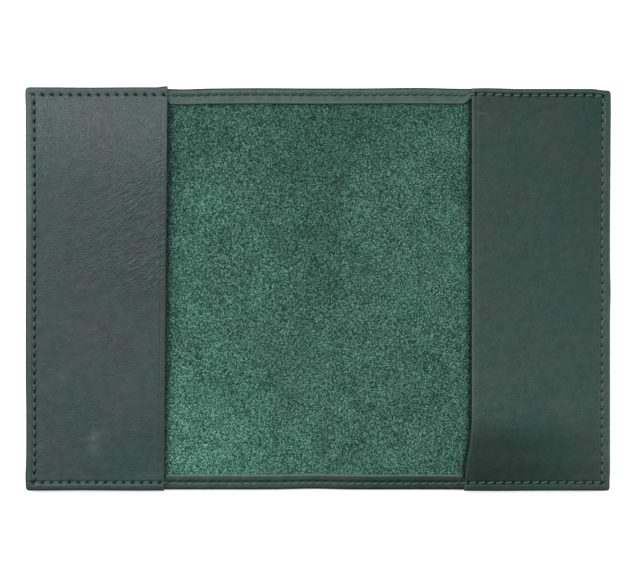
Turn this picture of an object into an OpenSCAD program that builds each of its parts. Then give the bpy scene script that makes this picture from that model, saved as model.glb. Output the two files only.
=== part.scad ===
// Open leather jacket for a pocket notebook, lying flat with its inside up.
// One hide makes the two covers and the spine, its edges are turned in as hems, and a pocket
// is sewn over each end with a lockstitch. The notebook's boards slide under the pockets.
// Millimetres. X runs from the front cover to the back cover, Y towards the head, Z up.
// The origin is on the surface that the jacket lies on, under the middle of the spine.

/* [Hide] */
// Width of the open jacket, fore edge to fore edge
cover_w = 200; // [190:1:230]
// Height of the hide, tail to head
cover_h = 137; // [130:1:160]
// Thickness of the hide
hide_t = 1.2; // [1:0.1:1.6]
// Width of the spine between the two fold lines
spine_w = 6; // [5.5:0.5:7]
// Radius of the outer corners
corner_r = 1.5; // [1:0.25:2]

/* [Hems] */
// Width of the head and tail hems where they show
hem_w = 5; // [4.75:0.25:6]
// Width of a hem where a pocket covers it
covered_hem_w = 4; // [3.75:0.25:4.5]
// Thickness of the skived hem, which is also the depth of the pocket slots
hem_t = 0.8; // [0.7:0.1:1.2]

/* [Pockets] */
// Width of the front pocket at the head
front_pocket_head_w = 48.2; // [44:0.2:52]
// Width of the front pocket at the tail
front_pocket_tail_w = 47.6; // [44:0.2:52]
// Width of the back pocket at the head
back_pocket_head_w = 47.4; // [44:0.2:52]
// Width of the back pocket at the tail
back_pocket_tail_w = 49; // [44:0.2:52]
// Thickness of a pocket's leather
pocket_t = 1.2; // [1:0.1:1.4]
// How far a pocket stands past the hide at the head and at the tail
pocket_overhang = 0.3; // [0:0.1:0.5]

/* [Seam] */
// Distance from the fore edge to the seam
seam_inset_side = 2.8; // [2.6:0.1:3]
// Distance from the head edge to the seam
seam_inset_head = 2.1; // [2:0.1:2.8]
// Distance from the tail edge to the seam
seam_inset_tail = 2.6; // [2:0.1:2.8]
// Stitch length aimed at on the pockets, before it is evened out along each row
pocket_stitch = 3.1; // [2.9:0.05:3.3]
// Stitch length aimed at on the open hems and the spine
hem_stitch = 2.75; // [2.6:0.05:3]
// Diameter of the thread where it lies on the leather
thread_d = 0.5; // [0.4:0.05:0.6]

/* [Hidden] */
$fn = 32;

FRONT = -1;             // the front cover is on the -X side
BACK = 1;
HEAD = 1;               // the head edge is on the +Y side
TAIL = -1;

fold_x = spine_w / 2;   // the two fold lines are at X = -fold_x and +fold_x
fold_gap = 0.1;         // gap left at each fold line between solids that move apart
slip = 0.02;            // gap between pieces that lie on each other without being joined
past = 1;               // how far a cutter runs past the face it cuts

// Heights of the layers, from the surface that the jacket lies on
z_suede = hide_t;
z_hem = hide_t + hem_t;
z_pocket = z_hem + pocket_t;

// The seam runs round the jacket, through every layer it meets.
seam_x = cover_w / 2 - seam_inset_side;
seam_head_y = cover_h / 2 - seam_inset_head;
seam_tail_y = -cover_h / 2 + seam_inset_tail;
side_stitches = round((seam_head_y - seam_tail_y) / pocket_stitch);
pitch_y = (seam_head_y - seam_tail_y) / side_stitches;
mouth_room = 1.4;              // from the edge of a pocket's mouth to the stitch hole on each side

hole_r = 0.45;                 // a stitch hole
strand_r = 0.16;               // a strand of thread inside a hole
tip = 0.18;                    // a lying strand runs on this far past the strand going down
strand_x = 0.22;               // two strands share a hole, this far either side of its centre
lock_z = hide_t * 0.7;         // height at which the needle and bobbin threads lock
groove_w = 0.9;                // the bobbin thread lies in a groove in the outer face
groove_depth = thread_d + 0.05;

function seam_y(end) = end == HEAD ? seam_head_y : seam_tail_y;
function pocket_w(side, end) = side == FRONT
    ? (end == HEAD ? front_pocket_head_w : front_pocket_tail_w)
    : (end == HEAD ? back_pocket_head_w : back_pocket_tail_w);
function mouth(side, end) = cover_w / 2 - pocket_w(side, end);

// Stitch holes of the row along one end of one cover, counted from the middle of the spine:
// number 0 is on the spine, those up to open_holes lie in the open hem, and the rest go
// through the pocket, the last of them at the corner.
function open_run(side, end) = mouth(side, end) - mouth_room;
function open_holes(side, end) = round(open_run(side, end) / hem_stitch + 0.5);
function covered_run(side, end) = seam_x - mouth(side, end) - mouth_room;
function covered_stitches(side, end) = round(covered_run(side, end) / pocket_stitch);
function last_hole(side, end) = open_holes(side, end) + covered_stitches(side, end);
function hole_x(side, end, k) = k < open_holes(side, end)
    ? (k + 0.5) * open_run(side, end) / (open_holes(side, end) - 0.5)
    : seam_x - (last_hole(side, end) - k) * covered_run(side, end) / covered_stitches(side, end);
function hole_y(k) = seam_tail_y + k * pitch_y;

function end_holes(side, end) =
    [for (k = [1:last_hole(side, end)]) [side * hole_x(side, end, k), seam_y(end)]];
function spine_holes(end) = [for (side = [FRONT, BACK]) [side * hole_x(side, end, 0), seam_y(end)]];
function fore_edge_holes(side) = [for (k = [1:side_stitches - 1]) [side * seam_x, hole_y(k)]];
function cover_holes(side) = concat(end_holes(side, HEAD), end_holes(side, TAIL), fore_edge_holes(side));

module drill(points) {
    for (p = points)
        translate([p[0], p[1], -past])
            cylinder(r = hole_r, h = z_pocket + 2 * past);
}

// What a rounded outer corner loses, for a sheet whose corner is at [x, y].
module corner_waste(side, end, x, y) {
    translate([side * x, end * y, -past])
        scale([-side, -end, 1])
            difference() {
                translate([-past, -past, 0]) cube([corner_r + past, corner_r + past, z_pocket + 2 * past]);
                translate([corner_r, corner_r, -past]) cylinder(r = corner_r, h = z_pocket + 4 * past);
            }
}

// The bobbin thread's groove along one end, from X = x0 to x1.
module end_groove(end, x0, x1) {
    translate([min(x0, x1), seam_y(end) - groove_w / 2, -past])
        cube([abs(x1 - x0), groove_w, groove_depth + past]);
}

module cover_panel(side) {
    inner = side * (fold_x + fold_gap / 2);
    outer = side * cover_w / 2;
    difference() {
        translate([min(inner, outer), -cover_h / 2, 0])
            cube([abs(outer - inner), cover_h, hide_t]);
        for (end = [HEAD, TAIL]) {
            corner_waste(side, end, cover_w / 2, cover_h / 2);
            end_groove(end, inner - side * past, side * (seam_x + groove_w / 2));
        }
        translate([side * seam_x - groove_w / 2, seam_tail_y, -past])
            cube([groove_w, seam_head_y - seam_tail_y, groove_depth + past]);
        drill(cover_holes(side));
    }
}

module spine_sheet(y0, y1, z0, z1) {
    translate([-fold_x + fold_gap / 2, y0, z0])
        cube([spine_w - fold_gap, y1 - y0, z1 - z0]);
}

module spine_hide() {
    difference() {
        spine_sheet(-cover_h / 2, cover_h / 2, 0, hide_t);
        for (end = [HEAD, TAIL]) {
            end_groove(end, -fold_x - past, fold_x + past);
            drill(spine_holes(end));
        }
    }
}

// A head or tail hem of one cover: full width where it shows, then a slanted step down to
// the width that the pocket covers.
module cover_hem(side, end) {
    step = hem_w - covered_hem_w;
    edge = end * cover_h / 2;
    mouth_x = side * mouth(side, end);
    difference() {
        translate([0, 0, z_suede])
            linear_extrude(hem_t)
                polygon([
                    [side * (fold_x + fold_gap / 2), edge],
                    [side * (fold_x + fold_gap / 2), edge - end * hem_w],
                    [mouth_x - side * step, edge - end * hem_w],
                    [mouth_x, edge - end * covered_hem_w],
                    [side * cover_w / 2, edge - end * covered_hem_w],
                    [side * cover_w / 2, edge]
                ]);
        corner_waste(side, end, cover_w / 2, cover_h / 2);
        drill(end_holes(side, end));
    }
}

module spine_hem(end) {
    edge = end * cover_h / 2;
    difference() {
        spine_sheet(min(edge, edge - end * hem_w), max(edge, edge - end * hem_w), z_suede, z_hem);
        drill(spine_holes(end));
    }
}

module fore_edge_hem(side) {
    length = cover_h - 2 * covered_hem_w - 2 * slip;
    difference() {
        translate([side * (cover_w - covered_hem_w) / 2, 0, z_suede + hem_t / 2])
            cube([covered_hem_w, length, hem_t], center = true);
        drill(fore_edge_holes(side));
    }
}

module pocket(side) {
    half_h = cover_h / 2 + pocket_overhang;
    difference() {
        translate([0, 0, z_hem])
            linear_extrude(pocket_t)
                polygon([
                    [side * cover_w / 2, -half_h],
                    [side * cover_w / 2, half_h],
                    [side * mouth(side, HEAD), half_h],
                    [side * mouth(side, TAIL), -half_h]
                ]);
        for (end = [HEAD, TAIL])
            corner_waste(side, end, cover_w / 2, half_h);
        drill(cover_holes(side));
    }
}

// One stitch along +X from the origin: a strand lying on the leather, with a strand down each
// hole it reaches. z_top is the face it lies on, and legs says which ends go down a hole.
module stitch(length, z_top, legs) {
    start = legs[0] ? strand_x : fold_gap / 2;
    finish = length - (legs[1] ? strand_x : fold_gap / 2);
    axis_z = z_top + slip + thread_d / 2;
    translate([start - (legs[0] ? tip : 0), 0, axis_z])
        rotate([0, 90, 0])
            cylinder(d = thread_d, h = finish - start + (legs[0] ? tip : 0) + (legs[1] ? tip : 0));
    for (leg = [0, 1])
        if (legs[leg])
            translate([leg == 0 ? start : finish, 0, lock_z + slip])
                cylinder(r = strand_r, h = axis_z - lock_z - slip);
}

// The same stitch turned over, for the bobbin thread in its groove under the hide.
module under_stitch(length, legs) {
    translate([0, 0, 2 * lock_z])
        mirror([0, 0, 1])
            stitch(length, 2 * lock_z - groove_depth, legs);
}

module any_stitch(length, z_top, legs, under) {
    if (under) under_stitch(length, legs);
    else stitch(length, z_top, legs);
}

// The stitch that climbs from the open hem onto the pocket: a sloping strand up to the edge of
// the mouth, then a level one to the first hole in the pocket.
module mouth_stitch(length) {
    foot_z = z_hem + slip + thread_d / 2;
    crest_z = z_pocket + slip + thread_d / 2;
    crest_x = mouth_room - thread_d;        // the slope ends clear of the pocket's edge
    rise = crest_z - foot_z;
    run = crest_x - strand_x;
    translate([strand_x, 0, foot_z])
        sphere(d = thread_d * 0.96);        // the bend at the hem, round both strands' ends
    translate([strand_x, 0, foot_z])
        rotate([0, atan2(run, rise), 0])
            cylinder(d = thread_d * 0.8, h = norm([run, rise]));
    translate([crest_x - tip, 0, crest_z])
        rotate([0, 90, 0])
            cylinder(d = thread_d, h = length - strand_x + 2 * tip - crest_x);
    translate([strand_x, 0, lock_z + slip])
        cylinder(r = strand_r, h = foot_z - lock_z - slip);
    translate([length - strand_x, 0, lock_z + slip])
        cylinder(r = strand_r, h = crest_z - lock_z - slip);
}

// The stitches of one cover's head or tail row, from the fold line out to the corner.
module end_thread(side, end, under) {
    translate([side * fold_x, seam_y(end), 0])
        scale([side, 1, 1])
            any_stitch(hole_x(side, end, 1) - fold_x, z_hem, [false, true], under);
    mouth_k = open_holes(side, end) - 1;
    for (k = [1:last_hole(side, end) - 1]) {
        length = hole_x(side, end, k + 1) - hole_x(side, end, k);
        translate([side * hole_x(side, end, k), seam_y(end), 0])
            scale([side, 1, 1])
                if (k == mouth_k && !under) mouth_stitch(length);
                else any_stitch(length, k < mouth_k ? z_hem : z_pocket, [true, true], under);
    }
}

module spine_thread(end, under) {
    front_x = hole_x(FRONT, end, 0);
    translate([-front_x, seam_y(end), 0])
        any_stitch(front_x + hole_x(BACK, end, 0), z_hem, [true, true], under);
    for (side = [FRONT, BACK])
        translate([side * hole_x(side, end, 0), seam_y(end), 0])
            scale([side, 1, 1])
                any_stitch(fold_x - hole_x(side, end, 0), z_hem, [true, false], under);
}

// The fore edge row. Its first and last stitches stop short of the corner holes, which the
// head and tail rows use.
module fore_edge_thread(side, under) {
    corner_room = hole_r;
    for (k = [0:side_stitches - 1]) {
        first = k == 0;
        last = k == side_stitches - 1;
        translate([side * seam_x, hole_y(k) + (first ? corner_room : 0), 0])
            rotate(90)
                any_stitch(pitch_y - (first || last ? corner_room : 0), z_pocket, [!first, !last], under);
    }
}

hide_colour = "#3d5249";
pocket_colour = "#4b5c57";
hem_colour = "#4a5e57";
thread_colour = "#1f4a3c";

module front_cover_panel() { color(hide_colour) cover_panel(FRONT); }
module back_cover_panel() { color(hide_colour) cover_panel(BACK); }
module spine_panel() { color(hide_colour) spine_hide(); }
module front_pocket() { color(pocket_colour) pocket(FRONT); }
module back_pocket() { color(pocket_colour) pocket(BACK); }
module front_head_hem() { color(hem_colour) cover_hem(FRONT, HEAD); }
module front_tail_hem() { color(hem_colour) cover_hem(FRONT, TAIL); }
module front_fore_edge_hem() { color(hem_colour) fore_edge_hem(FRONT); }
module spine_head_hem() { color(hem_colour) spine_hem(HEAD); }
module spine_tail_hem() { color(hem_colour) spine_hem(TAIL); }
module back_head_hem() { color(hem_colour) cover_hem(BACK, HEAD); }
module back_tail_hem() { color(hem_colour) cover_hem(BACK, TAIL); }
module back_fore_edge_hem() { color(hem_colour) fore_edge_hem(BACK); }
module front_head_needle_thread() { color(thread_colour) end_thread(FRONT, HEAD, false); }
module front_tail_needle_thread() { color(thread_colour) end_thread(FRONT, TAIL, false); }
module front_fore_edge_needle_thread() { color(thread_colour) fore_edge_thread(FRONT, false); }
module spine_head_needle_thread() { color(thread_colour) spine_thread(HEAD, false); }
module spine_tail_needle_thread() { color(thread_colour) spine_thread(TAIL, false); }
module back_head_needle_thread() { color(thread_colour) end_thread(BACK, HEAD, false); }
module back_tail_needle_thread() { color(thread_colour) end_thread(BACK, TAIL, false); }
module back_fore_edge_needle_thread() { color(thread_colour) fore_edge_thread(BACK, false); }
module front_head_bobbin_thread() { color(thread_colour) end_thread(FRONT, HEAD, true); }
module front_tail_bobbin_thread() { color(thread_colour) end_thread(FRONT, TAIL, true); }
module front_fore_edge_bobbin_thread() { color(thread_colour) fore_edge_thread(FRONT, true); }
module spine_head_bobbin_thread() { color(thread_colour) spine_thread(HEAD, true); }
module spine_tail_bobbin_thread() { color(thread_colour) spine_thread(TAIL, true); }
module back_head_bobbin_thread() { color(thread_colour) end_thread(BACK, HEAD, true); }
module back_tail_bobbin_thread() { color(thread_colour) end_thread(BACK, TAIL, true); }
module back_fore_edge_bobbin_thread() { color(thread_colour) fore_edge_thread(BACK, true); }

front_cover_panel();
spine_panel();
back_cover_panel();
front_pocket();
back_pocket();
front_head_hem();
front_tail_hem();
front_fore_edge_hem();
spine_head_hem();
spine_tail_hem();
back_head_hem();
back_tail_hem();
back_fore_edge_hem();
front_head_needle_thread();
front_tail_needle_thread();
front_fore_edge_needle_thread();
spine_head_needle_thread();
spine_tail_needle_thread();
back_head_needle_thread();
back_tail_needle_thread();
back_fore_edge_needle_thread();
front_head_bobbin_thread();
front_tail_bobbin_thread();
front_fore_edge_bobbin_thread();
spine_head_bobbin_thread();
spine_tail_bobbin_thread();
back_head_bobbin_thread();
back_tail_bobbin_thread();
back_fore_edge_bobbin_thread();
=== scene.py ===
"""Leather cover for a pocket notebook, lying open with its suede inside up.

The hide is two meshes that meet in the middle of the spine. Its edges are turned in as hems,
a pocket lies over each end, and a lockstitch seam runs round the whole cover. Lengths are in
millimetres until mesh_object() turns them into metres.
u is the distance out from the middle of the spine and v is the distance towards the head.
"""

import math

import bpy
import numpy as np
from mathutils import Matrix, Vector


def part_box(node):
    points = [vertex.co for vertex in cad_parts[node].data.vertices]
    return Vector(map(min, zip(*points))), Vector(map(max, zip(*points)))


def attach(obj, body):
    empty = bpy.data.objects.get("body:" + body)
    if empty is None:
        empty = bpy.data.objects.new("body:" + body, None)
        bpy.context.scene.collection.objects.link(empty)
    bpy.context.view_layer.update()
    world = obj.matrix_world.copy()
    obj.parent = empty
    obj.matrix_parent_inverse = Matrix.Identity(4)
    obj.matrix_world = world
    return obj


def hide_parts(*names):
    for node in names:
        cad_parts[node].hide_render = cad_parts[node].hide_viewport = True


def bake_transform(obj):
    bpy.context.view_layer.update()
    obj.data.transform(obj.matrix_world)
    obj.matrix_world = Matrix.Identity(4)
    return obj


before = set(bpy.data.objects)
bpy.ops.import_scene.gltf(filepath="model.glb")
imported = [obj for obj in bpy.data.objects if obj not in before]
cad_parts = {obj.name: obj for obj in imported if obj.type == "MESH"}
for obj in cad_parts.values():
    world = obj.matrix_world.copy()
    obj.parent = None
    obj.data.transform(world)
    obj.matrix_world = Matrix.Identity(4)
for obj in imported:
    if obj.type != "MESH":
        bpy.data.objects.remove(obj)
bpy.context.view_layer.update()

MM = 0.001
FRONT, BACK = -1, 1  # the front cover is on the -X side
HEAD, TAIL = 1, -1  # the head edge is on the +Y side


# ---------------------------------------------------------------- sizes, from the CAD frame


def cad(node):
    """The lowest and highest corners of a CAD node, in millimetres."""
    low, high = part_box(node)
    return np.array(low) / MM, np.array(high) / MM


HALF_W = cad("back_cover_panel")[1][0]
HALF_H = cad("back_cover_panel")[1][1]
POCKET_HALF_H = cad("back_pocket")[1][1]
Z_SUEDE = cad("spine_panel")[1][2]
Z_HEM = cad("spine_head_hem")[1][2]
Z_POCKET = cad("back_pocket")[1][2]
HEM_W = HALF_H - cad("spine_head_hem")[0][1]
COVERED_HEM_W = HALF_W - cad("back_fore_edge_hem")[0][0]
SEAM_U = float(np.mean([c[0] for c in cad("back_fore_edge_needle_thread")]))
SEAM_V = {
    HEAD: float(np.mean([c[1] for c in cad("spine_head_needle_thread")])),
    TAIL: float(np.mean([c[1] for c in cad("spine_tail_needle_thread")])),
}

MOUTH_ROOM = 1.4  # from a pocket's mouth to the stitch hole on each side of it
POCKET_STITCH = 3.1  # length of a stitch through a pocket
HEM_STITCH = 2.75  # and along an open hem
THREAD_R = 0.25
CORNER_R = 1.1
TURN_R = 0.95  # radius of the turned edge of the hide
POCKET_EDGE_R = 0.75  # radius of a pocket's upper edge over the seam
POCKET_MOUTH_R = 0.3  # and at its mouth
UNDER_EDGE_R = 0.2  # radius of its lower edge
THINNEST = 0.06  # the hide is never drawn thinner than this
GRAIN, FLESH, CUT = 0, 1, 2  # material numbers of the leather pieces


# ---------------------------------------------------------------- smooth functions


def smooth(t):
    """0 below 0, 1 above 1, and a smooth rise between."""
    t = np.clip(t, 0.0, 1.0)
    return t * t * (3 - 2 * t)


def bell(t, centre, width):
    """1 at the centre, and falling off on both sides of it."""
    return np.exp(-(((t - centre) / width) ** 2))


def noise(x, y, size, seed):
    """Smooth noise from -1 to 1, with blobs about `size` across."""
    lattice = np.random.default_rng(seed).uniform(-1, 1, (256, 256))
    p, q = x / size, y / size
    i, j = np.floor(p).astype(int), np.floor(q).astype(int)
    s, t = smooth(p - i), smooth(q - j)
    i0, j0, i1, j1 = i % 256, j % 256, (i + 1) % 256, (j + 1) % 256
    near = lattice[i0, j0] * (1 - s) + lattice[i1, j0] * s
    far = lattice[i0, j1] * (1 - s) + lattice[i1, j1] * s
    return near * (1 - t) + far * t


def turned(x, y, degrees):
    """x and y measured along and across a line at that angle."""
    c, s = math.cos(math.radians(degrees)), math.sin(math.radians(degrees))
    return x * c + y * s, y * c - x * s


# ---------------------------------------------------------------- outline


OUTLINE_REACH = 14  # the outline's unevenness dies out this far in from the edge


def mouth(side, v):
    """How far out the pocket's free edge is: the front one slants, the back one flares at the tail."""
    if side == FRONT:
        return 51.95 - 0.65 * v / HALF_H
    return 52.55 - 2.6 * smooth((-42 - v) / (HALF_H - 42)) ** 1.3


def end_shift(end, x):
    """How far the head or tail edge strays outwards from straight at x."""
    if end == HEAD:
        dips = 0.08 * bell(x, -78, 9) + 0.3 * bell(x, -46, 6) + 0.2 * bell(x, 45, 14)
        rise = 0.12 + 0.3 * bell(x, 36, 12) + 0.1 * bell(x, -20, 12)
        return rise - dips - 0.55 * smooth((x - 55) / 14) - 0.55 * smooth((x - 93) / 6)
    return 0.22 + 0.1 * bell(x, 60, 12) - 0.25 * bell(x, -2, 9) - 0.1 * bell(x, -80, 10)


def side_shift(side, v):
    """The same for a fore edge at v."""
    if side == FRONT:
        slack = 0.12 + 0.1 * bell(v, 20, 20) + 0.14 * smooth((-30 - v) / 12)
        return 0.15 * bell(v, 66, 3) + 0.25 * bell(v, -64, 4) - slack
    tail_corner = 0.15 * smooth((-62 - v) / 5)
    return 0.1 * bell(v, 62, 8) + 0.2 * bell(v, -1, 5) - 0.2 * smooth((50 - v) / 30) - tail_corner


def round_corner(u, v, half_w, half_h):
    """Draws the last CORNER_R of a square corner in to a quarter circle."""
    a = (u - half_w + CORNER_R) / CORNER_R
    b = (np.abs(v) - half_h + CORNER_R) / CORNER_R
    inside = (a > 0) & (b > 0)
    pull = np.where(inside, np.maximum(a, b) / np.maximum(np.hypot(a, b), 1e-9), 1.0)
    new_u = np.where(inside, half_w - CORNER_R + CORNER_R * a * pull, u)
    new_v = np.where(inside, np.sign(v) * (half_h - CORNER_R + CORNER_R * b * pull), v)
    return new_u, new_v


def place(side, u, v):
    """x and y of a point, with the outline's unevenness."""
    near_end = smooth(1 - (HALF_H - np.abs(v)) / OUTLINE_REACH)
    near_side = smooth(1 - (HALF_W - u) / OUTLINE_REACH)
    x = side * (u + side_shift(side, v) * near_side)
    shift = np.where(v > 0, end_shift(HEAD, side * u), -end_shift(TAIL, side * u))
    return x, v + shift * near_end


def mouth_corner(side, u, v):
    """How far the head corner of a pocket's mouth stands out past its edge, or lies short of it."""
    reach = smooth(1 - (HALF_H - v) / 3)
    if side == FRONT:
        return 0.45 * reach * smooth(1 - (u - 52) / 3.5)
    return -0.25 * reach * smooth(1 - (u - 52) / 14)


# ---------------------------------------------------------------- the seam


def open_holes(side, end):
    """How many stitch holes one cover has along an open hem."""
    run = mouth(side, end * HALF_H) - MOUTH_ROOM
    return round(run / HEM_STITCH + 0.5)


def end_hole_us(side, end):
    """Where the stitch holes are along one end of one cover: first the open hem's, then the pocket's."""
    edge = mouth(side, end * HALF_H)
    count = open_holes(side, end)
    open_us = (np.arange(count) + 0.5) * (edge - MOUTH_ROOM) / (count - 0.5)
    run = SEAM_U - edge - MOUTH_ROOM
    stitches = round(run / POCKET_STITCH)
    return np.concatenate([open_us, edge + MOUTH_ROOM + run * np.arange(stitches + 1) / stitches])


def side_hole_vs():
    """Where the stitch holes are along a fore edge."""
    run = SEAM_V[HEAD] - SEAM_V[TAIL]
    return SEAM_V[TAIL] + np.linspace(0, run, round(run / POCKET_STITCH) + 1)


def row_v(side, end, u):
    """The seam's place at an end: it strays outwards along the open tail hem."""
    stray = 0.5 if end == TAIL else 0.0
    return SEAM_V[end] - stray * smooth((mouth(side, end * HALF_H) - u) / 3)


def rows(side):
    """The seam's rows on one cover, each a list of (u, v) holes."""
    for end in (HEAD, TAIL):
        yield [(u, float(row_v(side, end, u))) for u in end_hole_us(side, end)]
    yield [(SEAM_U, v) for v in side_hole_vs()]


def stamp(side, u, v, marks):
    """A soft ellipse at each mark (u, v, angle, half length, half width): 1 in its middle."""
    mask = np.zeros_like(u)
    for mark_u, mark_v, angle, length, width in marks:
        near = (np.abs(u - mark_u) < 3) & (np.abs(v - mark_v) < 3)
        du, dv = turned(side * (u[near] - mark_u), v[near] - mark_v, angle)
        mask[near] = np.maximum(mask[near], np.exp(-((du / length) ** 2) - (dv / width) ** 2))
    return mask


def dimples(side, u, v, length, width):
    """A soft ellipse at every stitch hole of one cover."""
    return stamp(side, u, v, ((a, b, 0, length, width) for row in rows(side) for a, b in row))


def pocket_slits(side):
    """The slits in one pocket, sunk in and darkened with painted shade: slanted at the head, and drawn
    out into a thin line at the tail.
    """
    angle, length, width, lower = (-24, 0.92, 0.34, 0.25) if side == FRONT else (-20, 0.66, 0.42, -0.1)
    for u in end_hole_us(side, HEAD)[open_holes(side, HEAD) :]:
        yield u, SEAM_V[HEAD] - lower, angle, length, width
    for u in end_hole_us(side, TAIL)[open_holes(side, TAIL) :]:
        yield u, SEAM_V[TAIL] - 0.05, -10, 1.0, 0.27
    for v in side_hole_vs()[:-1]:
        if side == FRONT:
            yield SEAM_U - 0.28, v, 82, 0.9, 0.36
        else:
            yield SEAM_U - 0.15, v, 80, 0.72, 0.3


def hem_slits(side):
    """On the open hems the thread has sunk in: a slit beside each stitch, darkened with painted shade,
    and a bridge between.
    """
    for end in (HEAD, TAIL):
        us = end_hole_us(side, end)[: open_holes(side, end)]
        for a, b in zip(np.concatenate([[-us[0]], us[:-1]]), us, strict=True):
            if end == HEAD:
                yield (a + b) / 2, SEAM_V[end] - 0.25, 3, 0.92, 0.24
            else:
                yield (a + b) / 2, SEAM_V[end] + 0.15, 4, 1.15, 0.24


def seam_offset(u, v):
    """Distance outwards from the seam's line; negative inside it."""
    return np.maximum(u - SEAM_U, np.maximum(v - SEAM_V[HEAD], SEAM_V[TAIL] - v))


def edge_distance(u, v, half_h):
    """Distance in from the nearest outer edge."""
    return np.minimum(HALF_W - u, half_h - np.abs(v))


# ---------------------------------------------------------------- heights of the surfaces


def rounded(d, radius):
    """How far a rounded edge has fallen at a distance d in from the border."""
    return radius - np.sqrt(np.maximum(radius**2 - np.maximum(radius - d, 0.0) ** 2, 0.0))


def puckers(side, u, v):
    """Small pleats across the strip between the seam and the edge."""
    q = seam_offset(u, v)
    along = np.where(u - SEAM_U > np.abs(v) - HALF_H + 2.4, v, u)
    patchy = 0.4 + 0.6 * smooth(0.5 + noise(side * u, v, 11, 5))
    wave = np.sin(along * 2 * math.pi / 1.15 + 2 * noise(u, v, 4, 6))
    return 0.035 * wave * patchy * bell(q, 1.1, 0.8)


def seam_relief(side, u, v, depth, ridge):
    """The valley that the seam pulls into the leather, and the ridge between it and the edge."""
    q = seam_offset(u, v)
    flat = 1 - 0.65 * smooth((v - SEAM_V[HEAD] + 4) / 3)
    valley = -depth * bell(q, 0, 0.5) * (0.85 + 0.15 * noise(side * u, v, 2.2, 7))
    return flat * (valley + ridge * bell(q, 1.3, 0.7)) + puckers(side, u, v)


def hem_top(side, u, v):
    """Height of the hems' upper face, without the slits."""
    x = side * u
    waves = 0.06 * noise(x, v, 9, 11) + 0.02 * noise(x, v, 2.4, 12)
    return Z_HEM + seam_relief(side, u, v, 0.1, 0.02) + waves


def nap(x, y):
    """Height of the suede's nap above its base."""
    tufts = 0.05 * noise(x, y, 0.95, 21) + 0.04 * noise(x + 7, y, 1.7, 22)
    return tufts + 0.05 * noise(x, y, 6, 23) + 0.06 * noise(x, y, 22, 24)


def hem_edge(side, end, u):
    """How far the hem reaches in from the edge: it is cut back where it goes under the pocket."""
    slope = 3.0 if (side, end) == (BACK, HEAD) else 0.4
    wavy = 0.2 * (end == HEAD) + 0.1 * noise(side * u, u * 0, 17, 13)
    return HEM_W + wavy - 1.6 * smooth((u - mouth(side, end * HALF_H) + slope) / slope)


def pocket_arch(side, u, v):
    """The pocket is sewn down at three sides and arches a little between them, with soft waves."""
    clear = np.minimum(SEAM_V[HEAD] - v, v - SEAM_V[TAIL])
    from_seam = np.minimum(clear, 1.6 * (SEAM_U - u))
    arch = 0.36 * smooth(0.5 + 0.5 * clear / 27) * smooth(0.12 + from_seam / 20) - 0.05
    x = side * u
    loose = smooth(from_seam / 8)
    waves = 0.09 * noise(x, v, 23, 31) + 0.03 * noise(x, v, 9, 32)
    lip = 0.08 * smooth(1 - (u - mouth(side, v)) / 16) * noise(x * 0, v, 15, 33)
    return arch + (waves + lip) * loose


def wrinkles(side, u, v):
    """How strongly the grain is wrinkled: most on the front pocket, above the middle of its mouth."""
    x = side * u
    if side == BACK:
        return 0.06 + 0.05 * noise(x, v, 14, 41)
    near_mouth = bell(x, -53, 24) * smooth((v + 5) / 14) * smooth((60 + 0.5 * (x + 56) - v) / 22)
    patchy = 1 + 0.35 * noise(x, v, 9, 42)
    return np.clip(0.03 + 0.9 * near_mouth * patchy, 0, 1)


def graininess(side, u, v):
    """How much the pebbles of the grain show: most at the front pocket's head."""
    if side == BACK:
        return 0.12 + 0.08 * bell(v, -40, 10) + 0.06 * smooth((5 - (u - mouth(side, v))) / 5)
    return 0.06 + 0.3 * smooth((v + 6) / 12) + 0.5 * smooth((v - 25) / 30)


def crease(side, u, v):
    """The line pressed into the leather beside each pocket's free edge."""
    return bell(u - mouth(side, v), 1.75, 0.22)


def pocket_top(side, u, v):
    """Height of a pocket's upper face, without the slits."""
    z = Z_POCKET + pocket_arch(side, u, v) + seam_relief(side, u, v, 0.1, 0.06)
    return z + 0.02 * noise(side * u, v, 2.1, 34) - 0.12 * crease(side, u, v)


def outer_face(side, u, v):
    """Height of the smooth outside above the floor, with the valley that the bobbin thread lies in."""
    q = seam_offset(u, v)
    valley = 0.42 * bell(q, 0, 0.62)
    pulled_in = 0.2 * dimples(side, u, v, 0.36, 0.3)
    soft = 0.05 + 0.05 * noise(side * u, v, 18, 51) + 0.015 * noise(side * u, v, 3, 52)
    return np.maximum(soft, 0.0) + valley + pulled_in


# ---------------------------------------------------------------- mesh helpers


def arc_steps(radius, count=6):
    """Distances from the border at even steps round an edge of that radius."""
    return [radius * (1 - math.cos(math.pi / 2 * k / count)) for k in range(count + 1)]


def round_the_edge(border, radius):
    """Grid lines that follow a rounded edge out to the border."""
    return [border - d for d in reversed(arc_steps(radius)[:-1])]


def mirrored(half):
    """Grid lines from 0 upwards, with the same ones below 0."""
    return np.concatenate([-half[:0:-1], half])


def lines(*stretches):
    """Grid lines: each stretch is (start, stop, spacing), and the stops are kept exactly."""
    out = []
    for start, stop, spacing in stretches:
        count = max(1, round((stop - start) / spacing))
        out.extend(np.linspace(start, stop, count + 1)[(1 if out else 0) :])
    return np.array(out)


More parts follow.
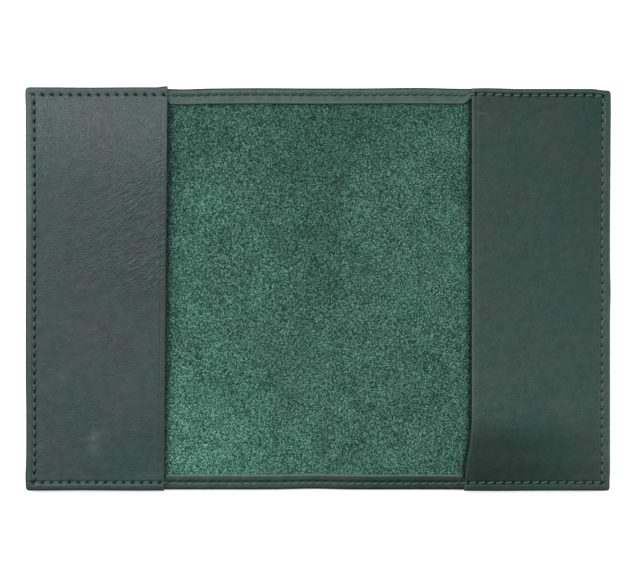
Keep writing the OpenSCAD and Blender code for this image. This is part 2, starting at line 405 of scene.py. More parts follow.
def mesh_object(name, points, faces, materials, face_slots=None, attributes=None, crisp=None):
    """A smooth-shaded mesh piece from points in millimetres. Edges between crisp points are sharp."""
    mesh = bpy.data.meshes.new(name)
    mesh.from_pydata((np.asarray(points) * MM).tolist(), [], faces)
    for material in materials:
        mesh.materials.append(material)
    if face_slots is not None:
        mesh.polygons.foreach_set("material_index", np.asarray(face_slots, np.int32))
    for key, values in (attributes or {}).items():
        layer = mesh.attributes.new(key, "FLOAT", "POINT")
        layer.data.foreach_set("value", np.asarray(values, np.float32))
    mesh.polygons.foreach_set("use_smooth", np.ones(len(mesh.polygons), bool))
    mesh.update()
    if crisp is not None:
        ends = np.empty(2 * len(mesh.edges), np.int32)
        mesh.edges.foreach_get("vertices", ends)
        layer = mesh.attributes.new("sharp_edge", "BOOLEAN", "EDGE")
        layer.data.foreach_set("value", np.isin(ends.reshape(-1, 2), crisp).all(axis=1))
    obj = bpy.data.objects.new(name, mesh)
    bpy.context.scene.collection.objects.link(obj)
    return obj


def slab(name, side, xy, top, bottom, slots, materials, attributes):
    """A closed sheet of leather: a top and a bottom grid, joined by walls round the border.

    slots gives the material numbers of the top faces, bottom faces and walls. Each attribute is
    a pair of grids, for the top and the bottom."""
    x, y = xy
    nu, nv = x.shape
    points = np.concatenate([np.stack([x, y, z], -1).reshape(-1, 3) for z in (top, bottom)])
    index = np.arange(nu * nv).reshape(nu, nv)
    quads = np.stack([index[:-1, :-1], index[1:, :-1], index[1:, 1:], index[:-1, 1:]], -1).reshape(-1, 4)
    under = quads[:, ::-1] + nu * nv
    ring = np.concatenate([index[:-1, 0], index[-1, :-1], index[:0:-1, -1], index[0, :0:-1]])
    after = np.roll(ring, -1)
    walls = np.stack([ring + nu * nv, after + nu * nv, after, ring], -1)
    faces = np.concatenate([quads, under, walls])
    if side < 0:
        faces = faces[:, ::-1]
    top_slots, bottom_slots, wall_slot = slots
    wall_slots = np.full(len(walls), wall_slot)
    face_slots = np.concatenate([top_slots.reshape(-1), bottom_slots.reshape(-1), wall_slots])
    values = {key: np.concatenate([a.reshape(-1), b.reshape(-1)]) for key, (a, b) in attributes.items()}
    crisp = np.concatenate([index[0], index[0] + nu * nv])
    return mesh_object(name, points, faces.tolist(), materials, face_slots, values, crisp)


# ---------------------------------------------------------------- materials


class Nodes:
    """A short way to build a material's node tree."""

    def __init__(self, name, roughness, specular=0.5, sheen=0.0):
        self.material = bpy.data.materials.new(name)
        self.material.use_nodes = True
        self.tree = self.material.node_tree
        self.shader = self.tree.nodes["Principled BSDF"]
        self.shader.inputs["Roughness"].default_value = roughness
        self.shader.inputs["Specular IOR Level"].default_value = specular
        self.shader.inputs["Sheen Weight"].default_value = sheen
        self.shader.inputs["Sheen Roughness"].default_value = 0.5
        self.place = self.add("ShaderNodeTexCoord").outputs["Object"]

    def add(self, kind, **settings):
        node = self.tree.nodes.new(kind)
        for key, value in settings.items():
            setattr(node, key, value)
        return node

    def link(self, a, b):
        self.tree.links.new(a, b)

    def attribute(self, name):
        return self.add("ShaderNodeAttribute", attribute_name=name).outputs["Fac"]

    def noise(self, size_mm, detail=3.0, rough=0.55, stretch=(1, 1, 1), turn=0.0, distortion=0.0):
        """Noise with features about size_mm across."""
        node = self.add("ShaderNodeTexNoise")
        node.inputs["Scale"].default_value = 1 / (size_mm * MM)
        node.inputs["Detail"].default_value = detail
        node.inputs["Roughness"].default_value = rough
        node.inputs["Distortion"].default_value = distortion
        self.link(self.stretched(stretch, turn), node.inputs["Vector"])
        return node.outputs["Fac"]

    def stretched(self, stretch, turn):
        """Coordinates in which textures come out that many times longer along axes turned by degrees."""
        mapping = self.add("ShaderNodeMapping", vector_type="TEXTURE")
        mapping.inputs["Scale"].default_value = stretch
        mapping.inputs["Rotation"].default_value = (0, 0, math.radians(turn))
        self.link(self.place, mapping.inputs["Vector"])
        return mapping.outputs["Vector"]

    def cells(self, size_mm, smoothness=0.6):
        """Distance to the nearest of many points, as between the pores of leather."""
        node = self.add("ShaderNodeTexVoronoi", feature="SMOOTH_F1")
        node.inputs["Scale"].default_value = 1 / (size_mm * MM)
        node.inputs["Smoothness"].default_value = smoothness
        self.link(self.place, node.inputs["Vector"])
        return node.outputs["Distance"]

    def ramp(self, value, *stops):
        """Colours at positions: each stop is (position, (r, g, b))."""
        node = self.add("ShaderNodeValToRGB")
        elements = node.color_ramp.elements
        while len(elements) < len(stops):
            elements.new(0.5)
        for element, (position, colour) in zip(elements, stops, strict=True):
            element.position = position
            element.color = (*colour, 1)
        self.link(value, node.inputs["Fac"])
        return node.outputs["Color"]

    def mix(self, factor, a, b, blend="MIX"):
        node = self.add("ShaderNodeMix", data_type="RGBA", blend_type=blend)
        for socket, value in ((node.inputs[0], factor), (node.inputs[6], a), (node.inputs[7], b)):
            if isinstance(value, bpy.types.NodeSocket):
                self.link(value, socket)
            elif isinstance(value, tuple):
                socket.default_value = (*value, 1)
            else:
                socket.default_value = value
        return node.outputs[2]

    def varied(self, colour, value, swing, factor=1.0):
        """The colour, darker where a noise value is low and lighter where it's high, by up to swing."""
        shade = self.ramp(value, (0.3, (1 - swing,) * 3), (0.7, (1 + swing,) * 3))
        return self.mix(factor, colour, shade, "MULTIPLY")

    def tinted_by_tone_and_light(self, colour):
        """The colour multiplied by the mesh's tone, which carries painted light and shade."""
        tone_and_light = self.add("ShaderNodeCombineColor")
        for socket in tone_and_light.inputs[:3]:
            self.link(self.attribute("tone_and_light"), socket)
        return self.mix(1.0, colour, tone_and_light.outputs["Color"], "MULTIPLY")

    def math(self, operation, a, b):
        node = self.add("ShaderNodeMath", operation=operation)
        for socket, value in zip(node.inputs, (a, b), strict=False):
            if isinstance(value, bpy.types.NodeSocket):
                self.link(value, socket)
            else:
                socket.default_value = value
        return node.outputs[0]

    def fit(self, value, low, high):
        """A 0 to 1 value spread over low to high."""
        node = self.add("ShaderNodeMapRange")
        node.inputs["To Min"].default_value = low
        node.inputs["To Max"].default_value = high
        self.link(value, node.inputs["Value"])
        return node.outputs["Result"]

    def bump(self, height, distance_mm, strength=1.0, after=None):
        node = self.add("ShaderNodeBump")
        node.inputs["Strength"].default_value = strength
        node.inputs["Distance"].default_value = distance_mm * MM
        self.link(height, node.inputs["Height"])
        if after is not None:
            self.link(after, node.inputs["Normal"])
        return node.outputs["Normal"]

    def finish(self, colour, normal=None, roughness=None):
        self.link(colour, self.shader.inputs["Base Color"])
        if normal is not None:
            self.link(normal, self.shader.inputs["Normal"])
        if roughness is not None:
            self.link(roughness, self.shader.inputs["Roughness"])
        return self.material


# painted shade for stitch holes, slits and seam grooves
HOLE_SHADE = (0.003, 0.010, 0.008)
# dark for edge paint, and for the painted shade on the hide's turned edges
EDGE_DARK = (0.006, 0.012, 0.010)
# pale, for real scuffs and for the painted highlight along the hems' cut edges
SCUFF_AND_HIGHLIGHT_PALE = (0.16, 0.20, 0.18)
STAIN_TINT = (0.84, 0.45, 0.50)


def grain_leather(name, cool, warm, specular, mottle):
    """Smooth full grain: two hues in soft patches, fine mottling, pores, pebbles and wrinkles.

    The mesh says where the grain, wrinkles, scuffs, edge paint and stitch holes are, and carries the
    leather's tone with its painted light and shade: painted shade in the holes, slits and on the hide's
    turned edges, and a painted highlight along the hems' cut edges. The gloss fades in the holes, on
    the paint and at grazing angles, and follows the tone."""
    m = Nodes(name, roughness=0.42, specular=specular)
    patches = m.noise(17, rough=0.6)
    colour = m.mix(m.fit(patches, -0.6, 1.6), cool, warm)
    colour = m.varied(colour, m.noise(2.6, detail=4, rough=0.6), mottle)
    colour = m.varied(colour, m.noise(0.62, rough=0.6), 0.5, m.attribute("grain"))
    # the tone, with its painted light and shade
    colour = m.tinted_by_tone_and_light(colour)
    # pale where the leather is scuffed or scratched, and a painted highlight along the hems' cut edges
    colour = m.mix(m.attribute("scuff_and_highlight"), colour, SCUFF_AND_HIGHLIGHT_PALE)
    # edge paint on the pockets' cut edges, and painted shade on the hide's turned edges
    colour = m.mix(m.attribute("edge"), colour, EDGE_DARK)
    # painted shade in the stitch holes, slits and the front pocket's seam groove
    colour = m.mix(m.attribute("hole"), colour, HOLE_SHADE)
    unlit = m.math("MAXIMUM", m.attribute("hole"), m.math("MULTIPLY", m.attribute("edge"), 0.7))
    # the gloss also follows the tone's painted light
    lit = m.math("MULTIPLY", m.math("SUBTRACT", 1.0, unlit), m.attribute("tone_and_light"))
    slant = m.math("MULTIPLY", m.add("ShaderNodeLayerWeight").outputs["Facing"], 1.25)
    sheen = m.math("MAXIMUM", m.math("SUBTRACT", specular, m.math("MULTIPLY", slant, specular)), 0.02)
    m.link(m.math("MULTIPLY", lit, sheen), m.shader.inputs["Specular IOR Level"])
    pores = m.bump(m.cells(0.62), 0.08, 0.4)
    folds = m.noise(1.5, detail=2, rough=0.5, stretch=(2.4, 0.75, 1), turn=34, distortion=0.9)
    wrinkled = m.bump(m.math("MULTIPLY", folds, m.attribute("wrinkle")), 0.36, after=pores)
    pebbles = m.noise(0.45, detail=2)
    pebbled = m.bump(m.math("MULTIPLY", pebbles, m.attribute("grain")), 0.3, after=wrinkled)
    return m.finish(colour, pebbled, m.fit(m.noise(1.6, detail=5, rough=0.6), 0.30, 0.50))


def suede(name):
    """Brushed flesh side: short tufts that lean different ways, so light and dark flecks."""
    m = Nodes(name, roughness=0.95, specular=0.12, sheen=0.06)
    flecks = m.noise(0.46, rough=0.75)
    colour = m.ramp(
        flecks,
        (0.39, (0.002, 0.018, 0.011)),
        (0.46, (0.014, 0.059, 0.041)),
        (0.54, (0.044, 0.122, 0.092)),
        (0.63, (0.145, 0.290, 0.232)),
    )
    # the hide's tone, with painted shadow beside the pockets' mouths and under the head hem
    colour = m.tinted_by_tone_and_light(m.varied(colour, m.noise(9), 0.16))
    colour = m.mix(m.attribute("scuff_and_highlight"), colour, STAIN_TINT, "MULTIPLY")
    tufts = m.bump(flecks, 0.28, 0.9)
    fibres = m.bump(m.noise(0.25, detail=2), 0.08, 0.6, after=tufts)
    return m.finish(colour, fibres)


def cut_edge(name, dark, light):
    """The cut side of leather: fibres running along the edge, under a thin coat of paint."""
    m = Nodes(name, roughness=0.55)
    fibres = m.noise(0.5, detail=4, rough=0.7, stretch=(2.5, 2.5, 0.4))
    colour = m.ramp(fibres, (0.3, dark), (0.7, light))
    # painted shade where the stitch holes and slits reach the cut edge
    colour = m.mix(m.attribute("hole"), colour, HOLE_SHADE)
    return m.finish(colour, m.bump(fibres, 0.08, 0.6), m.fit(fibres, 0.42, 0.7))


def thread_material(name):
    """Twisted polyester: plies in the mesh, filaments and slight shade changes here."""
    m = Nodes(name, roughness=0.55, specular=0.45, sheen=0.2)
    filaments = m.noise(0.14, detail=2)
    colour = m.ramp(filaments, (0.3, (0.030, 0.062, 0.050)), (0.7, (0.068, 0.120, 0.100)))
    colour = m.varied(colour, m.noise(4, detail=2), 0.2)
    return m.finish(colour, m.bump(filaments, 0.04, 0.7), m.fit(filaments, 0.42, 0.68))


# ---------------------------------------------------------------- the hide


def hide_grid():
    """Columns from the middle of the spine to the fore edge, and rows from tail to head.

    They are closest at the stitches, at the turned edge and where the hem steps up from the suede."""
    us = lines((0, 53, 0.5), (53, 94.5, 1.0), (94.5, HALF_W - TURN_R, 0.33))
    us = np.concatenate([us, round_the_edge(HALF_W, TURN_R)])
    cut = HALF_H - HEM_W
    suede_rows = lines((0, cut - 0.3, 0.52))
    step = cut + np.array([-0.12, -0.03, 0.02, 0.09, 0.22])
    hem = lines((cut + 0.45, HALF_H - TURN_R, 0.27))
    half = np.concatenate([suede_rows, step, hem, round_the_edge(HALF_H, TURN_R)])
    return np.meshgrid(us, mirrored(half), indexing="ij")


HIDE_STAINS = [(-15, 14), (7, 37), (15, 31.5), (4, 27), (0, 21), (2.5, 5.5), (6, -1.5), (14.5, -2)]


def stains(x, y):
    """Small brownish patches in the suede, along the spine."""
    mask = np.zeros_like(x)
    patchy = np.clip(0.7 + 0.6 * noise(x, y, 1.3, 61), 0, 1)
    for cx, cy in HIDE_STAINS:
        mask = np.maximum(mask, 0.6 * patchy * bell(np.hypot(0.8 * (x - cx), y - cy), 0, 2.6))
    return mask


def brushing(x, y):
    """The nap lies different ways in broad patches: palest at the front's tail, darkest at the head."""
    pale = 0.42 * bell(x, -42, 26) * smooth((-8 - y) / 42) + 0.1 * bell(x, -38, 16) * bell(y, 14, 28)
    dull = 0.1 * bell(x, 2, 15) * smooth((y + 45) / 50) + 0.15 * smooth((y - 25) / 30)
    corner = 0.08 * bell(x, -42, 14) * smooth((y - 28) / 20)
    return 1.03 + pale - dull - corner + 0.09 * noise(x, y, 17, 25)


def painted_mouth_and_hem_shadow(side, u, v):
    """Painted shadow: the suede is darkened beside each pocket's mouth and under the head hem's edge,
    where the raised leather shades it.
    """
    from_mouth = np.abs(u - mouth(side, v) + 0.25)
    from_hem = np.where(v > 0, HALF_H - HEM_W - v, 9)
    beside = (0.52 if side == FRONT else 0.76) * (1 - smooth(from_mouth / 2.2)) ** 1.5
    under = 0.45 * bell(from_hem, 0, 0.75)
    return 1 - np.maximum(beside, under)


def hide(side, name, materials):
    """Half of the hide with its hems. Its materials are the outside, the suede and the hem's cut edge."""
    u, v = hide_grid()
    cut = HALF_H - HEM_W
    end = np.where(v > 0, HEAD, TAIL)
    reach = np.where(v > 0, hem_edge(side, HEAD, u), hem_edge(side, TAIL, u))
    depth_in = HALF_H - np.abs(v)
    pulled = end * (np.abs(v) + (HEM_W - reach) * bell(depth_in, HEM_W, 1.4))
    corner_u, corner_v = round_corner(u, pulled, HALF_W, HALF_H)
    xy = place(side, corner_u, corner_v)

    d = edge_distance(u, v, HALF_H)
    x = side * u
    on_hem = (depth_in <= HEM_W + 0.005) | (HALF_W - u <= COVERED_HEM_W)
    slit = stamp(side, u, v, hem_slits(side))
    top_hem = hem_top(side, u, v) - 0.4 * slit - 0.14 * bell(np.abs(v) - cut, 0, 0.16)
    top = np.where(on_hem, top_hem, Z_SUEDE + nap(x, v)) - rounded(d, TURN_R)
    bottom = outer_face(side, u, v) + rounded(d, TURN_R)
    too_thin = top - bottom < THINNEST
    bottom = np.where(too_thin, (top + bottom) / 2 - THINNEST / 2, bottom)
    top = np.where(too_thin, bottom + THINNEST, top)

    centre_v = np.abs(v[:-1, :-1] + v[:-1, 1:]) / 2
    centre_u = (u[:-1, :-1] + u[1:, :-1]) / 2
    bare = (centre_v < cut - 0.035) & (centre_u < HALF_W - COVERED_HEM_W)
    cut_wall = (centre_v >= cut - 0.035) & (centre_v < cut + 0.03)
    top_slots = np.where(bare, FLESH, np.where(cut_wall, CUT, GRAIN))

    # painted shade: the hide's turned edge is a fold with no edge paint, darkened over its last 0.75 mm
    # where it rolls away from the light
    painted = smooth(1 - d / 0.75)
    # painted highlight: a pale line on the hem's grain along its cut edge, where the edge catches the
    # light
    hem_edge_highlight = 0.5 * bell(depth_in, HEM_W - 0.2, 0.25)
    # the suede's tone: its brushing, times the painted shadow beside the mouths and under the head hem
    nap_tone_and_shadow = brushing(x, v) * painted_mouth_and_hem_shadow(side, u, v)
    # painted light and shade on the hems: the head hem lighter, as the light comes from the head side,
    # the tail hem darker, and darker still towards the back cover
    hem_painted_light = np.where(v > 0, 1.1, 0.78 - 0.25 * smooth((x + 15) / 50))
    # painted shade in the hems' slits, and in the stitch holes on the outside
    slit_shade = np.clip(slit * np.where(v > 0, 1.6, 0.9), 0, 1)
    hole_shade = 0.8 * dimples(side, u, v, 0.32, 0.26)
    nothing = np.zeros_like(u)
    attributes = {
        "hole": (slit_shade, hole_shade),
        "edge": (painted, painted),
        "scuff_and_highlight": (np.where(on_hem, hem_edge_highlight, stains(x, v)), nothing),
        "wrinkle": (nothing + 0.1, nothing + 0.25),
        "grain": (nothing + 0.3, nothing + 0.25),
        "tone_and_light": (np.where(on_hem, hem_painted_light, nap_tone_and_shadow), nothing + 1),
    }
    slots = (top_slots, np.full_like(top_slots, GRAIN), GRAIN)
    return slab(name, side, xy, top, bottom, slots, materials, attributes)


# ---------------------------------------------------------------- the pockets


def pocket_grid(side):
    """Columns from the mouth to the fore edge, drawn over to where the mouth is, and rows."""
    start = 52.0
    inner = start + POCKET_MOUTH_R
    near_mouth = start + np.array(arc_steps(POCKET_MOUTH_R, 4))
    us = lines((inner, 56, 0.28), (56, 93.5, 0.55), (93.5, HALF_W - POCKET_EDGE_R, 0.28))[1:]
    us = np.concatenate([near_mouth, us, round_the_edge(HALF_W, POCKET_EDGE_R)])
    half = lines((0, 62, 0.55), (62, POCKET_HALF_H - POCKET_EDGE_R, 0.28))
    half = np.concatenate([half, round_the_edge(POCKET_HALF_H, POCKET_EDGE_R)])
    u, v = np.meshgrid(us, mirrored(half), indexing="ij")
    return u + (mouth(side, v) - start) * smooth(1 - (u - start) / 30), v


def pocket_marks(side, x, y):
    """A faint scuff on the front pocket, and a light scratch on the back one."""
    if side == FRONT:
        return 0.2 * bell(x, -76.2, 2.2) * bell(y, -51.8, 3.6) * (1 + noise(x, y, 1.5, 63))
    scratch = bell(y, 60 - 0.06 * (x - 56), 0.28)
    return 0.22 * smooth((x - 53.8) / 1.2) * smooth((58.2 - x) / 1.2) * scratch


def tone_and_light(side, u, v):
    """Painted light and shade on a pocket: the front one is painted palest at the head, where its sheen
    falls, the back one painted darker towards the tail, with painted highlights along the back pocket's
    mouth and head edges.
    """
    strip = smooth((1.8 - (u - mouth(side, v))) / 0.4)
    border = smooth((u - SEAM_U - 0.3) / 0.5)
    if side == FRONT:
        # painted sheen: the front pocket lighter towards the head, a little at the tail, and its border
        # strip lighter
        ends = 0.38 * smooth((v - 30) / 33) + 0.06 * smooth((-45 - v) / 10)
        inside = 0.93 - 0.08 * bell(v, 14, 16) + ends
        outer = 1.07 + 0.35 * smooth((v - 12) / 25)
        return inside * (1 - border) + outer * border - 0.06 * strip
    # painted shade: the back pocket darker towards its tail
    tail = smooth((-40 - v) / 14) * (1 - 0.6 * smooth((u - 60) / 40)) * (1 - border)
    slope = 1 + (0.07 - 0.0035 * v) * (1 - border)
    near = 1 - 0.7 * smooth((u - 60) / 40)
    # painted highlights on the back pocket's head edge, and below, along its mouth
    head = 0.6 * smooth((v - SEAM_V[HEAD] - 0.7) / 1.0)
    ends = head + 0.55 * near * smooth((SEAM_V[TAIL] - v - 0.3) / 0.6)
    lip = 0.34 * smooth((1.1 - (u - mouth(side, v))) / 0.7) + 0.1 * strip
    lit = 1 + lip + (0.15 + 0.2 * smooth((30 - v) / 40)) * border + ends * (1 - border)
    return slope * (1 - 0.45 * tail - 0.12 * smooth((-57 - v) / 6)) * lit


def pocket(side, name, materials):
    """One pocket. Its materials are the top, the underside and the painted edge."""
    u, v = pocket_grid(side)
    corner_u, corner_v = round_corner(u, v + mouth_corner(side, u, v), HALF_W, POCKET_HALF_H)
    xy = place(side, corner_u, corner_v)

    d = edge_distance(u, v, POCKET_HALF_H)
    from_mouth = u - mouth(side, v)
    slit = stamp(side, u, v, pocket_slits(side))
    top = pocket_top(side, u, v) - 0.5 * slit
    top = top - rounded(d, POCKET_EDGE_R) - rounded(from_mouth, POCKET_MOUTH_R)
    base = Z_HEM + 0.02 + pocket_arch(side, u, v)
    bottom = base + rounded(d, UNDER_EDGE_R) + rounded(from_mouth, UNDER_EDGE_R)
    bottom = np.minimum(bottom, top - 2 * THINNEST)

    painted = smooth(1 - d / 0.7)
    # painted shade in the pocket's slits, and along the front pocket's seam groove
    dark = 1.5 * slit
    if side == FRONT:
        groove = 0.35 * bell(u, SEAM_U - 0.3, 0.6) * (np.abs(v) < SEAM_V[HEAD] - 1)
        dark = np.where(u > SEAM_U - 1.5, slit, dark) + groove
    else:
        # painted highlight: the edge's dark is faded along the back pocket's head, where the edge catches
        # the light
        painted = painted * (1 - 0.7 * smooth((v - POCKET_HALF_H + 1.5) / 0.5))
    nothing = np.zeros_like(u)
    attributes = {
        "hole": (np.clip(dark, 0, 1), nothing),
        "edge": (painted, painted),
        "scuff_and_highlight": (pocket_marks(side, side * u, v), nothing),
        "wrinkle": (wrinkles(side, u, v), nothing),
        "grain": (graininess(side, u, v), nothing),
        "tone_and_light": (tone_and_light(side, u, v), nothing + 1),
    }
    shape = (u.shape[0] - 1, u.shape[1] - 1)
    slots = (np.full(shape, GRAIN), np.full(shape, FLESH), CUT)
    return slab(name, side, xy, top, bottom, slots, materials, attributes)


# ---------------------------------------------------------------- thread

PLIES = 3
TWIST_MM = 1.5  # length in which the plies go once round
RING_SIDES = 12


def tube(path, radius):
    """A twisted thread along a path of points: points and faces, closed at both ends."""
    path = np.asarray(path)
    tangent = np.gradient(path, axis=0)
    tangent /= np.linalg.norm(tangent, axis=1)[:, None]
    across = np.cross(tangent, [0.0, 0.0, 1.0])
    across /= np.linalg.norm(across, axis=1)[:, None]
    up = np.cross(across, tangent)
    length = np.concatenate([[0], np.cumsum(np.linalg.norm(np.diff(path, axis=0), axis=1))])
    angle = np.linspace(0, 2 * math.pi, RING_SIDES, endpoint=False)[None, :]
    twist = (2 * math.pi * length / TWIST_MM)[:, None]
    r = radius * (0.9 + 0.1 * np.cos(PLIES * angle - twist * PLIES))
    rings = path[:, None, :] + across[:, None, :] * (r * np.cos(angle))[..., None]
    rings = rings + up[:, None, :] * (r * np.sin(angle))[..., None]
    n = len(path)
    index = np.arange(n * RING_SIDES).reshape(n, RING_SIDES)
    nxt = np.roll(index, -1, axis=1)
    walls = np.stack([index[:-1], nxt[:-1], nxt[1:], index[1:]], -1).reshape(-1, 4)
    faces = walls.tolist()
    faces.append(index[0, ::-1].tolist())
    faces.append(index[-1].tolist())
    return rings.reshape(-1, 3), faces


SLANT = 0.17  # a strand starts this far to one side of the seam and ends as far to the other
HOLE_REACH = 0.3  # and it starts and ends this far from the holes' middles


def thread_radius(below):
    """The bobbin thread, below, is pulled a little thinner than the needle thread."""
    return THREAD_R * (0.9 if below else 1.0)


def standing(side, below, row):
    """How high a row's thread stands over the leather, in radii: on the front cover it has sunk in."""
    if below or side == BACK:
        return 0.5
    along_fore_edge = row[0][0] == row[-1][0]
    return -0.6 if along_fore_edge else -0.3


def strand(start, end, height, below, proud=0.45):
    """One stitch's path from hole to hole. height(x, y) is the leather's, and the ends dive into it."""
    radius = thread_radius(below)
    start, end = np.array(start, float), np.array(end, float)
    along = (end - start) / np.linalg.norm(end - start)
    left = np.array([-along[1], along[0]])
    s = np.linspace(0, 1, 19)
    run = np.linalg.norm(end - start)
    reach = HOLE_REACH + (run - 2 * HOLE_REACH) * s
    lateral = SLANT * (2 * smooth(s) - 1)
    xy = start + reach[:, None] * along + lateral[:, None] * left
    sunk = 1 - smooth(np.minimum(s, 1 - s) * run / 0.8)
    lift = radius * (proud + 0.3 * np.sin(math.pi * s))
    z = height(xy[:, 0], xy[:, 1]) + (lift - 0.7 * sunk) * (-1 if below else 1)
    if below:
        z = np.maximum(z, radius + 0.015)
    return np.column_stack([xy, z])


def needle_height(side):
    """Height of the leather that the needle thread lies on, stepping up onto the pocket at its mouth."""

    def height(x, y):
        u = np.abs(x)
        step = smooth((u - mouth(side, y) + 0.85) / 0.6)
        low = Z_HEM + seam_relief(side, u, y, 0.1, 0.02) - np.where(y > 0, 0.3, 0.08)
        return low + (pocket_top(side, u, y) - low) * step

    return height


def bobbin_height(x, y):
    """The bobbin thread lies level in its groove."""
    return np.full_like(x, 0.36)


def seam_strands(side, below):
    """The paths of all the stitches of one cover, each towards the back cover or towards the head."""
    height = bobbin_height if below else needle_height(side)
    for row in rows(side):
        holes = sorted((side * u, v) for u, v in row)
        for a, b in zip(holes[:-1], holes[1:], strict=True):
            yield strand(a, b, height, below, standing(side, below, row))
    if not below:
        # the last stitches are doubled, beside the row, where the seam's two ends overlap
        x = side * (SEAM_U + 0.8)
        vs = side_hole_vs()[-4:] - 1.2
        for a, b in zip(vs[:-1], vs[1:], strict=True):
            yield strand((x, a), (x, b), height, below, 0.6)


def spine_strands(below):
    """The stitch across the middle of the spine, at the head and at the tail."""
    height = bobbin_height if below else needle_height(FRONT)
    for end in (HEAD, TAIL):
        front, back = (side * end_hole_us(side, end)[0] for side in (FRONT, BACK))
        v = float(row_v(FRONT, end, 0.0))
        yield strand((front, v), (back, v), height, below)


def thread_piece(name, paths, below, material):
    """One mesh of all the strands, moved along with the outline."""
    points, faces, count = [], [], 0
    for path in paths:
        x, y = path[:, 0], path[:, 1]
        side = np.where(x < 0, FRONT, BACK)
        on_front, on_back = (np.array(place(k, np.abs(x), y)) for k in (FRONT, BACK))
        xy = np.where(side == FRONT, on_front, on_back)
        p, f = tube(np.column_stack([xy[0], xy[1], path[:, 2]]), thread_radius(below))
        points.append(p)
        faces.extend([[i + count for i in face] for face in f])
        count += len(p)
    return mesh_object(name, np.concatenate(points), faces, [material])


# ---------------------------------------------------------------- the pieces


def name_of(side):
    return "front" if side == FRONT else "back"


def bend_with_fold(piece, side):
    """Bakes the piece's transform into its mesh."""
    f"{name_of(side)}_cover"
    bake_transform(piece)


def build():
    """Both halves of the cover, and the stitches across the spine."""
    outside = grain_leather(
        "outside_grain",
        cool=(0.014, 0.056, 0.043),
        warm=(0.030, 0.054, 0.046),
        specular=0.5,
        mottle=0.28,
    )
    # the two pockets are one leather, in a lit and a shaded copy: the front one greyer, glossier and more
    # mottled where the sheen falls, the back one less glossy
    front_grain = grain_leather(
        "front_pocket_grain",
        cool=(0.011, 0.042, 0.034),
        warm=(0.026, 0.038, 0.038),
        specular=0.5,
        mottle=0.24,
    )
    back_grain = grain_leather(
        "back_pocket_grain",
        cool=(0.012, 0.043, 0.033),
        warm=(0.025, 0.041, 0.034),
        specular=0.3,
        mottle=0.16,
    )
    inside = suede("suede")
    painted = cut_edge("painted_edge", (0.010, 0.018, 0.015), (0.030, 0.044, 0.038))
    raw = cut_edge("hem_cut_edge", (0.045, 0.085, 0.066), (0.100, 0.160, 0.130))
    thread = thread_material("thread")

    for side, grain in ((FRONT, front_grain), (BACK, back_grain)):
        who = name_of(side)
        leather = hide(side, f"{who}_hide", [outside, inside, raw])
        flap = pocket(side, f"{who}_pocket_leather", [grain, inside, painted])
        upper = thread_piece(f"{who}_needle_stitches", seam_strands(side, False), False, thread)
        lower = thread_piece(f"{who}_bobbin_stitches", seam_strands(side, True), True, thread)
        hems = [f"{who}_{row}_hem" for row in ("head", "tail", "fore_edge")]
        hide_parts(f"{who}_cover_panel", *hems)
        if side == BACK:
            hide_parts("spine_panel", "spine_head_hem", "spine_tail_hem")
        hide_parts(f"{who}_pocket")
        for piece, kind in ((upper, "needle"), (lower, "bobbin")):
            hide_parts(*[f"{who}_{row}_{kind}_thread" for row in ("head", "tail", "fore_edge")])
            bend_with_fold(piece, side)
        bend_with_fold(leather, side)
        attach(flap, f"{who}_cover")
        pocket_w = (HALF_W - float(mouth(side, 0.0))) * MM

    for below, kind in ((False, "needle"), (True, "bobbin")):
        piece = thread_piece(f"spine_{kind}_stitches", spine_strands(below), below, thread)
        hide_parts(f"spine_head_{kind}_thread", f"spine_tail_{kind}_thread")
        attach(piece, "spine")


# ---------------------------------------------------------------- floor, light and camera


FLOOR_REACH = 4.0  # metres
FLOOR_DROP = 0.0002  # the floor is this far under the cover, so that the two don't coincide


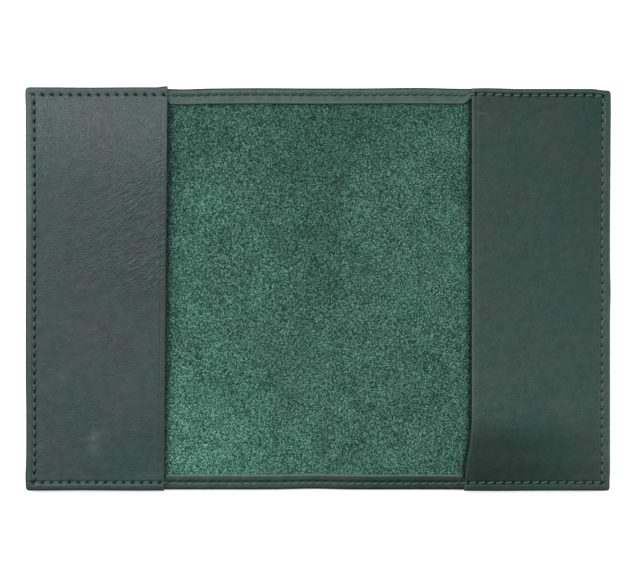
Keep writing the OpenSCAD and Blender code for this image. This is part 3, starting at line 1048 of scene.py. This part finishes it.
def floor():
    """A pale floor that glows a little, so that it comes out white."""
    m = Nodes("pale_floor", roughness=0.9, specular=0.1)
    drift = m.noise(60, detail=2)
    colour = m.ramp(drift, (0.3, (0.89, 0.89, 0.885)), (0.7, (0.91, 0.91, 0.905)))
    m.shader.inputs["Emission Color"].default_value = (1, 1, 1, 1)
    m.shader.inputs["Emission Strength"].default_value = 0.5
    mesh = bpy.data.meshes.new("floor")
    signs = ((-1, -1), (1, -1), (1, 1), (-1, 1))
    corners = [(a * FLOOR_REACH, b * FLOOR_REACH, -FLOOR_DROP) for a, b in signs]
    mesh.from_pydata(corners, [], [(0, 1, 2, 3)])
    mesh.materials.append(m.finish(colour))
    obj = bpy.data.objects.new("floor", mesh)
    bpy.context.scene.collection.objects.link(obj)


def softbox(name, where, size, power):
    """A square white lamp that faces the middle of the cover. Lengths here are in metres."""
    lamp = bpy.data.lights.new(name, "AREA")
    lamp.shape = "SQUARE"
    lamp.size = size
    lamp.energy = power
    obj = bpy.data.objects.new(name, lamp)
    obj.location = where
    inwards = -Vector(where)
    obj.rotation_euler = inwards.to_track_quat("-Z", "Y").to_euler()
    bpy.context.scene.collection.objects.link(obj)


def lights():
    """A big soft lamp on the left, a fill on the right, and a small one for the leather's sheen."""
    softbox("key", (-1.15, 0.75, 0.95), 1.1, 32)
    softbox("fill", (1.15, 0.05, 0.85), 1.0, 13)
    softbox("sheen", (-0.24, 0.38, 1.5), 0.5, 5.8)
    world = bpy.data.worlds.new("studio")
    world.use_nodes = True
    world.node_tree.nodes["Background"].inputs["Color"].default_value = (1, 1, 1, 1)
    world.node_tree.nodes["Background"].inputs["Strength"].default_value = 0.15
    bpy.context.scene.world = world


VIEW_WIDTH = 218.8  # width of the camera's view at the cover
CAMERA_HEIGHT = 900.0
CAMERA_X, CAMERA_Y = 0.7, 2.15  # the cover lies a little left of and below the picture's middle


def camera():
    """It looks straight down."""
    data = bpy.data.cameras.new("camera")
    data.sensor_width = 36.0
    data.lens = data.sensor_width * (CAMERA_HEIGHT - Z_HEM) / VIEW_WIDTH
    data.clip_start = 0.01
    obj = bpy.data.objects.new("camera", data)
    obj.location = (CAMERA_X * MM, CAMERA_Y * MM, CAMERA_HEIGHT * MM)
    bpy.context.scene.collection.objects.link(obj)
    bpy.context.scene.camera = obj


build()
floor()
lights()
camera()
bpy.context.scene.view_settings.view_transform = "Standard"
